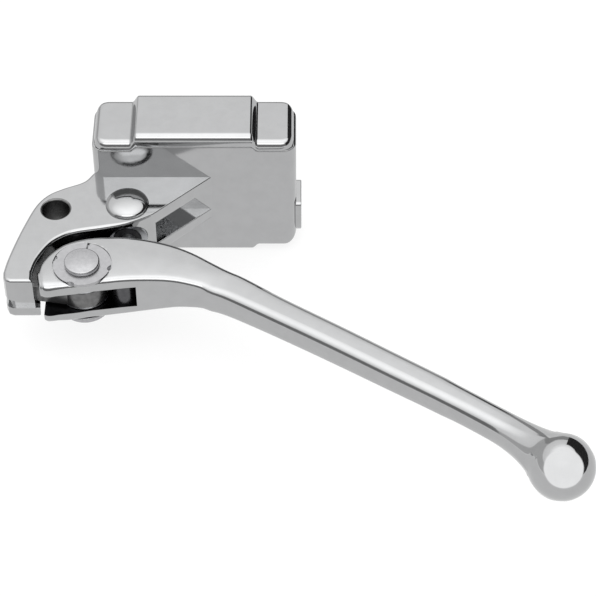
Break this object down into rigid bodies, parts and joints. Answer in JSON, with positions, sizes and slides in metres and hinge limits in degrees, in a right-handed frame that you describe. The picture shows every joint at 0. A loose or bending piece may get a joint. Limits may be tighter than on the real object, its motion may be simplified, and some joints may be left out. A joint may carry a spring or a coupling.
{
  "type": "handlebar brake master cylinder with lever",
  "caption": "Chrome handlebar front brake master cylinder: stepped box reservoir, side bracket with a domed plug, and a forked lever with a ball end on a ringed pivot pin.",
  "frame": {"origin": "on the handlebar axis, halfway along the saddle, level with the lever's mid-plane", "axes": "+X along the bar toward the lever tip, +Y toward the rider's side of the bar, +Z parallel to the lever pivot, toward the reservoir cover"},
  "size_m": [0.1686, 0.1356, 0.0479],
  "materials": {
    "chrome_casting": "bright chrome plate over a polished casting",
    "chrome_lever": "bright chrome plate over a polished forging",
    "pin_steel": "satin nickel-chrome plate on turned steel",
    "oxide_steel": "black oxide on turned steel, oiled",
    "ring_steel": "bright zinc on stamped spring steel",
    "zinc_steel": "clear zinc plate, lightly brushed",
    "spring_wire": "drawn spring wire, lightly oiled",
    "brass_insert": "turned brass, unpolished",
    "bronze": "sintered bronze, oil-dark",
    "piston_alloy": "turned and anodised aluminium, satin",
    "rubber_black": "moulded black rubber, satin",
    "white_nylon": "natural nylon, satin"
  },
  "bodies": {
    "housing": {"cylinder_body": "chrome_casting", "reservoir_cover": "chrome_casting", "cover_gasket": "rubber_black", "cover_screws": "zinc_steel", "cover_screw_washers": "zinc_steel", "cover_inserts": "brass_insert", "slosh_baffle": "zinc_steel", "passage_plug": "chrome_casting", "hose_seat": "brass_insert", "pivot_bushing": "bronze", "thrust_washers": "zinc_steel", "dust_seal": "rubber_black", "seal_retainer": "zinc_steel", "bore_circlip": "ring_steel", "stop_washer": "zinc_steel", "return_spring": "spring_wire"},
    "lever": {"brake_lever": "chrome_lever", "pivot_pin": "pin_steel", "pivot_ring": "ring_steel", "reaction_clip": "ring_steel"},
    "reaction_swivel": {"reaction_pin": "oxide_steel"},
    "piston_group": {"piston": "piston_alloy", "secondary_cup": "rubber_black", "primary_cup": "rubber_black", "spring_seat": "white_nylon", "pushrod": "zinc_steel"}
  },
  "joints": [
    {"name": "lever_pivot", "type": "hinge", "parent": "housing", "child": "lever", "pos_m": [-0.032, -0.062, 0], "axis": [0, 0, 1], "range_deg": [0, 16], "stiffness_Nm_per_rad": 0.4, "springref_deg": -20.05},
    {"name": "reaction_pin_swivel", "type": "hinge", "parent": "lever", "child": "reaction_swivel", "pos_m": [-0.02012, -0.06367, 0], "axis": [0, 0, 1], "range_deg": [-16, 0]},
    {"name": "piston_slide", "type": "slide", "parent": "housing", "child": "piston_group", "axis": [0, 1, 0], "range_m": [0, 0.0034], "deforming": ["return_spring"]}
  ],
  "couplings": [
    {"joint": "reaction_pin_swivel", "follows": "lever_pivot", "ratio": -1},
    {"joint": "piston_slide", "follows": "lever_pivot", "m_per_rad": 0.011961}
  ]
}
